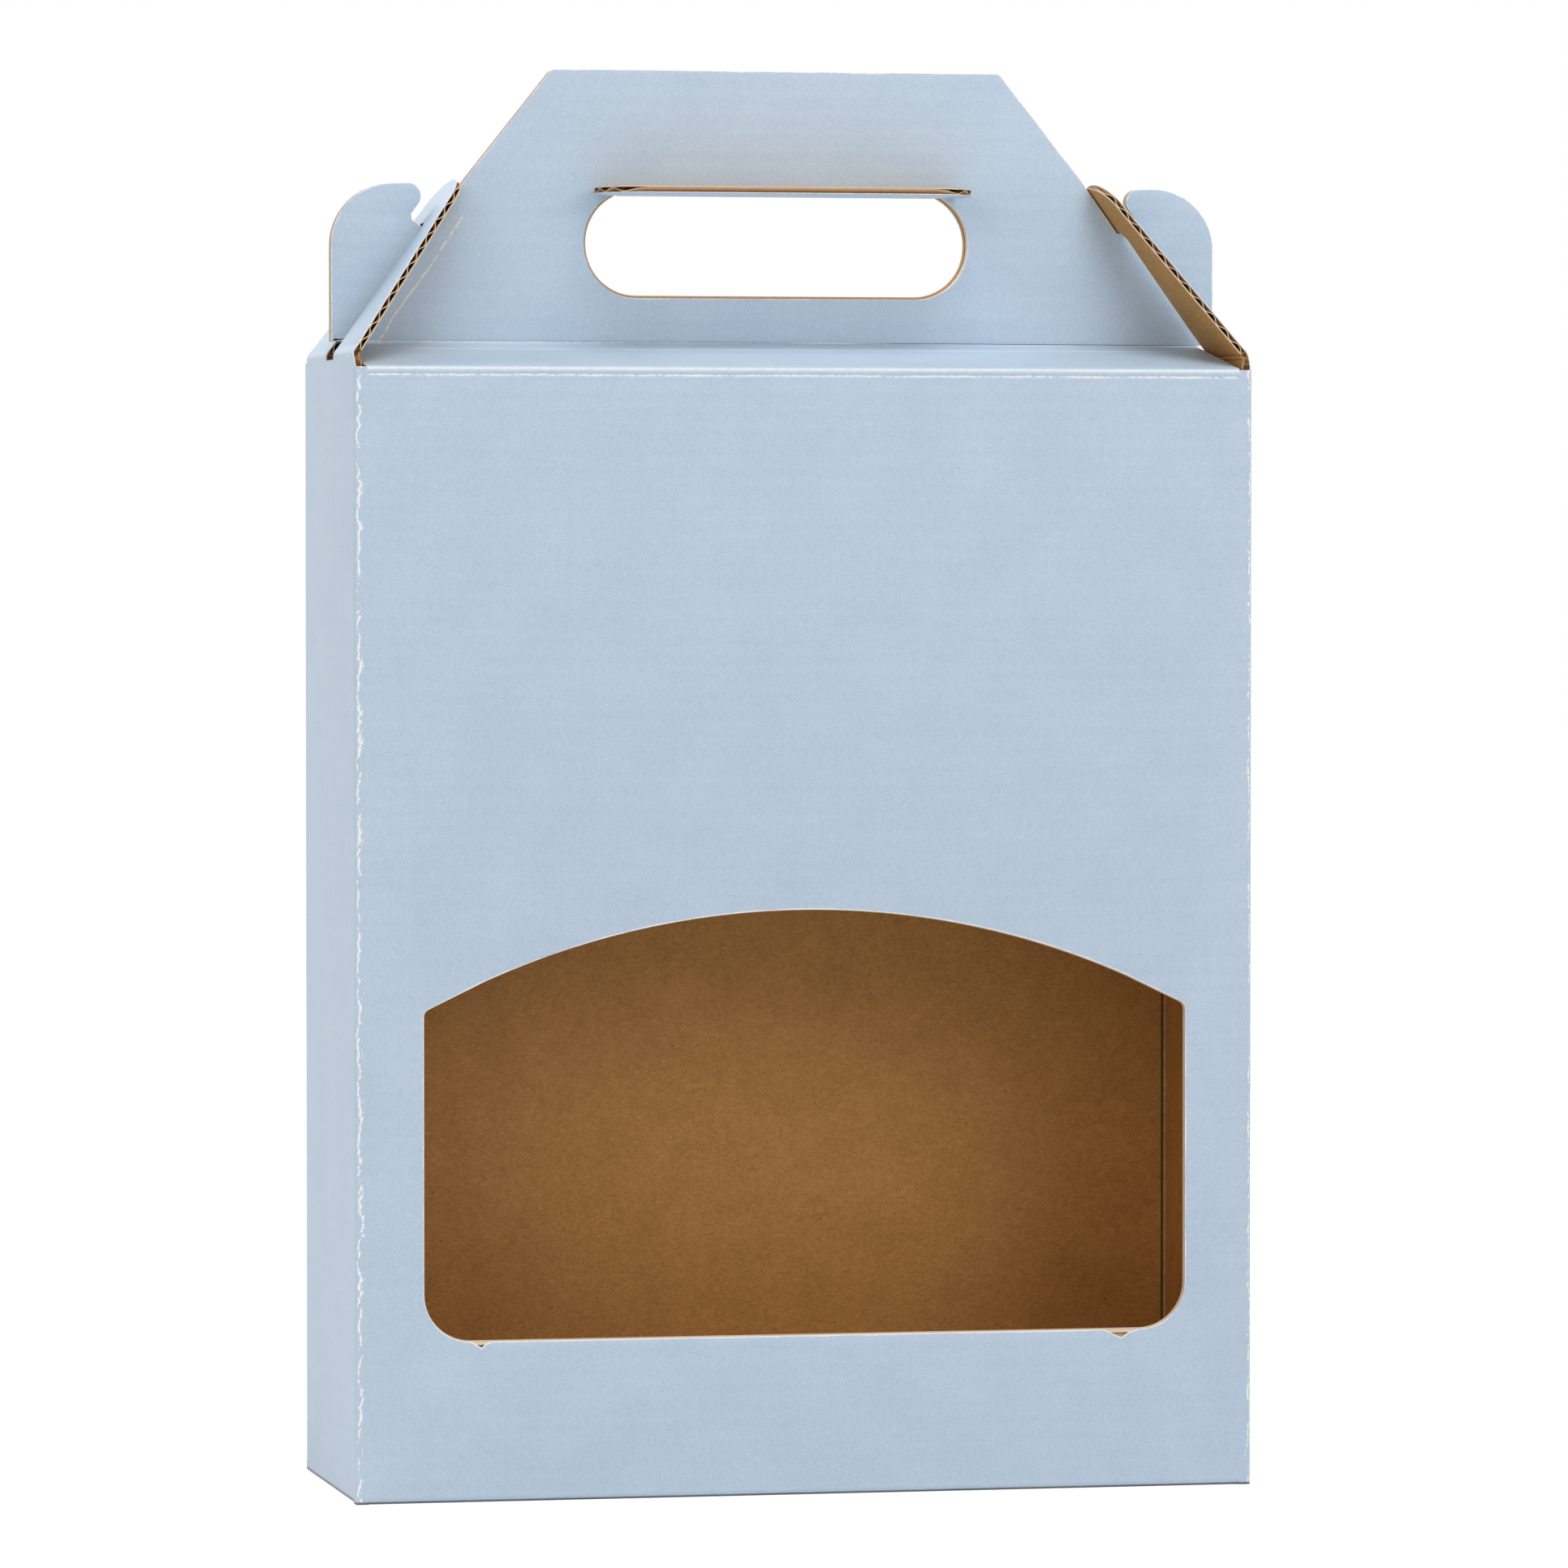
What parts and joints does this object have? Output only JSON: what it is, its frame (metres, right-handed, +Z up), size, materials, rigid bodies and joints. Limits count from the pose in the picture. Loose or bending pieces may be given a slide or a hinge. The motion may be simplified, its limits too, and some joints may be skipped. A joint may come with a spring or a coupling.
{
  "type": "bottle gift box",
  "caption": "Upright corrugated carry carton for a row of bottles, with an arched front window, a shallow gable top, a two-layer handle and slotted side flaps that lock it shut.",
  "frame": {"origin": "middle of the base, on the surface that the box stands on", "axes": "+Z up, -Y out of the windowed front, +X to the right as seen from the front"},
  "size_m": [0.216, 0.076, 0.3374],
  "materials": {
    "printed_board": "matt pale blue print on corrugated board, kraft inside",
    "kraft_board": "bare kraft corrugated board"
  },
  "bodies": {
    "carton": {"front_panel": "printed_board", "back_panel": "printed_board", "left_panel": "printed_board", "right_panel": "printed_board", "glue_tab": "kraft_board", "base_front_flap": "printed_board", "base_back_flap": "printed_board", "base_left_flap": "printed_board", "base_right_flap": "printed_board", "base_front_glue_corner": "printed_board", "base_back_glue_corner": "printed_board"},
    "front_top": {"front_top_panel": "printed_board"},
    "back_top": {"back_top_panel": "printed_board"},
    "front_handle": {"front_handle_panel": "printed_board"},
    "back_handle": {"back_handle_panel": "printed_board"},
    "grip": {"grip_flap": "printed_board"},
    "left_lock": {"left_lock_flap": "printed_board"},
    "right_lock": {"right_lock_flap": "printed_board"}
  },
  "joints": [
    {"name": "front_top_fold", "type": "hinge", "parent": "carton", "child": "front_top", "pos_m": [0, -0.038, 0.266], "axis": [1, 0, 0], "range_deg": [0, 80]},
    {"name": "back_top_fold", "type": "hinge", "parent": "carton", "child": "back_top", "pos_m": [0, 0.038, 0.266], "axis": [-1, 0, 0], "range_deg": [0, 80]},
    {"name": "front_handle_fold", "type": "hinge", "parent": "front_top", "child": "front_handle", "pos_m": [0, -0.00015, 0.27095], "axis": [-1, 0, 0], "range_deg": [0, 80]},
    {"name": "back_handle_fold", "type": "hinge", "parent": "back_top", "child": "back_handle", "pos_m": [0, 0.00015, 0.27095], "axis": [1, 0, 0], "range_deg": [0, 80]},
    {"name": "left_lock_fold", "type": "hinge", "parent": "carton", "child": "left_lock", "pos_m": [-0.108, 0, 0.2695], "axis": [0, -1, 0], "range_deg": [0, 200]},
    {"name": "right_lock_fold", "type": "hinge", "parent": "carton", "child": "right_lock", "pos_m": [0.108, 0, 0.2695], "axis": [0, 1, 0], "range_deg": [0, 200]},
    {"name": "grip_fold", "type": "hinge", "parent": "back_handle", "child": "grip", "pos_m": [0, 0.00185, 0.30755], "axis": [1, 0, 0], "range_deg": [0, 90]}
  ],
  "couplings": [
    {"joint": "back_top_fold", "follows": "front_top_fold", "ratio": 1},
    {"joint": "front_handle_fold", "follows": "front_top_fold", "ratio": 1},
    {"joint": "back_handle_fold", "follows": "front_top_fold", "ratio": 1},
    {"joint": "left_lock_fold", "follows": "front_top_fold", "ratio": 2.5},
    {"joint": "right_lock_fold", "follows": "front_top_fold", "ratio": 2.5}
  ]
}
